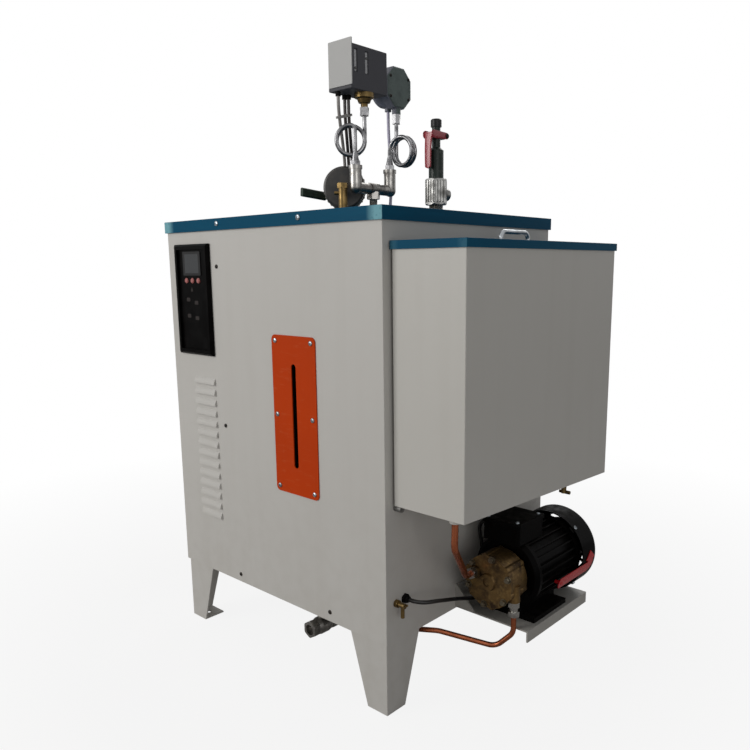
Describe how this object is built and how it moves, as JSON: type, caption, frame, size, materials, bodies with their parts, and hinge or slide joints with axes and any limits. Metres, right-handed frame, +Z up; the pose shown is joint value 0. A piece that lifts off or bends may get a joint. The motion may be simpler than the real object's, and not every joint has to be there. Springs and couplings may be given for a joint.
{
  "type": "electric steam generator",
  "caption": "Electric steam generator: floor-standing sheet-metal cabinet with a feed-water tank and pump on its side and valves, gauge and pressure controllers on its lid.",
  "frame": {"origin": "centre of the cabinet's footprint, at the underside of its four feet, on the floor", "axes": "+Z up; the front with the control panel faces -Y; the feed-water tank is on the +X side"},
  "size_m": [0.8138, 0.531, 1.226],
  "materials": {
    "cabinet_paint": "warm light grey powder coat",
    "lid_paint": "blue powder coat",
    "plate_paint": "orange enamel",
    "panel_frame": "near-black moulding",
    "display_pane": "dark display window",
    "lamp_lens": "signal lamp lenses",
    "gauge_glass": "level glass",
    "zinc": "bare and zinc-plated steel",
    "motor_paint": "black paint",
    "bronze": "cast bronze, dull",
    "brass_bright": "turned brass",
    "copper_pipe": "copper tube",
    "nickel": "nickel-plated fittings",
    "arrow_red": "crimson paint",
    "controller_grey": "grey-green enamel",
    "case_dark": "dark grey case",
    "gauge_grey": "grey enamel",
    "grip_green": "dark green dipped sleeve",
    "valve_green": "dark green-black paint",
    "cable_black": "black cable sheath and grommets",
    "cable_pale": "pale lavender cable sheath",
    "fan_plastic": "black moulded fan"
  },
  "bodies": {
    "cabinet": {"front_panel": "cabinet_paint", "back_panel": "cabinet_paint", "right_panel": "cabinet_paint", "left_panel": "cabinet_paint", "base_pan": "cabinet_paint", "rear_right_leg": "cabinet_paint", "rear_left_leg": "cabinet_paint", "front_right_leg": "cabinet_paint", "front_left_leg": "cabinet_paint", "water_tank": "cabinet_paint", "pump_shelf": "cabinet_paint", "cabinet_lid": "lid_paint", "tank_lid": "lid_paint", "sight_plate": "plate_paint", "control_panel": "panel_frame", "display_window": "display_pane", "panel_lamps": "lamp_lens", "level_glass": "gauge_glass", "level_channel": "zinc", "tank_hangers": "zinc", "tank_handle": "zinc", "motor_body": "motor_paint", "motor_cowl": "motor_paint", "terminal_box": "motor_paint", "motor_fan": "fan_plastic", "pump_case": "bronze", "pump_cover": "bronze", "wall_tap": "brass_bright", "box_bellows": "brass_bright", "gauge_elbow": "brass_bright", "tank_drain_cock": "brass_bright", "suction_pipe": "copper_pipe", "discharge_pipe": "copper_pipe", "pump_unions": "nickel", "drain_valve": "nickel", "drain_elbow": "nickel", "lid_nipples": "nickel", "manifold": "nickel", "siphon_right": "nickel", "siphon_left": "nickel", "steam_valve": "nickel", "safety_body": "nickel", "rotation_arrow": "arrow_red", "octagon_controller": "controller_grey", "box_side_plate": "controller_grey", "box_controller": "case_dark", "gauge_case": "gauge_grey", "safety_bonnet": "valve_green", "cable_glands": "cable_black", "cable_grommets": "cable_black", "cable_dark_1": "cable_black", "cable_dark_2": "cable_black", "pump_cable": "cable_black", "cable_octagon": "cable_pale", "cable_light": "cable_pale"},
    "steam_lever": {"steam_lever": "nickel", "steam_grip": "grip_green"},
    "drain_lever": {"drain_lever": "nickel"},
    "safety_lever": {"safety_lever": "arrow_red"}
  },
  "joints": [
    {"name": "steam_lever_turn", "type": "hinge", "parent": "cabinet", "child": "steam_lever", "pos_m": [-0.035, 0.0175, 0.952], "axis": [-1, 0, 0], "range_deg": [0, 90]},
    {"name": "drain_lever_turn", "type": "hinge", "parent": "cabinet", "child": "drain_lever", "pos_m": [0.122, -0.2365, 0.129], "axis": [0, 0, -1], "range_deg": [0, 90]},
    {"name": "safety_lever_lift", "type": "hinge", "parent": "cabinet", "child": "safety_lever", "pos_m": [0.164, 0.0875, 1.061], "axis": [-1, 0, 0], "range_deg": [0, 15]}
  ]
}
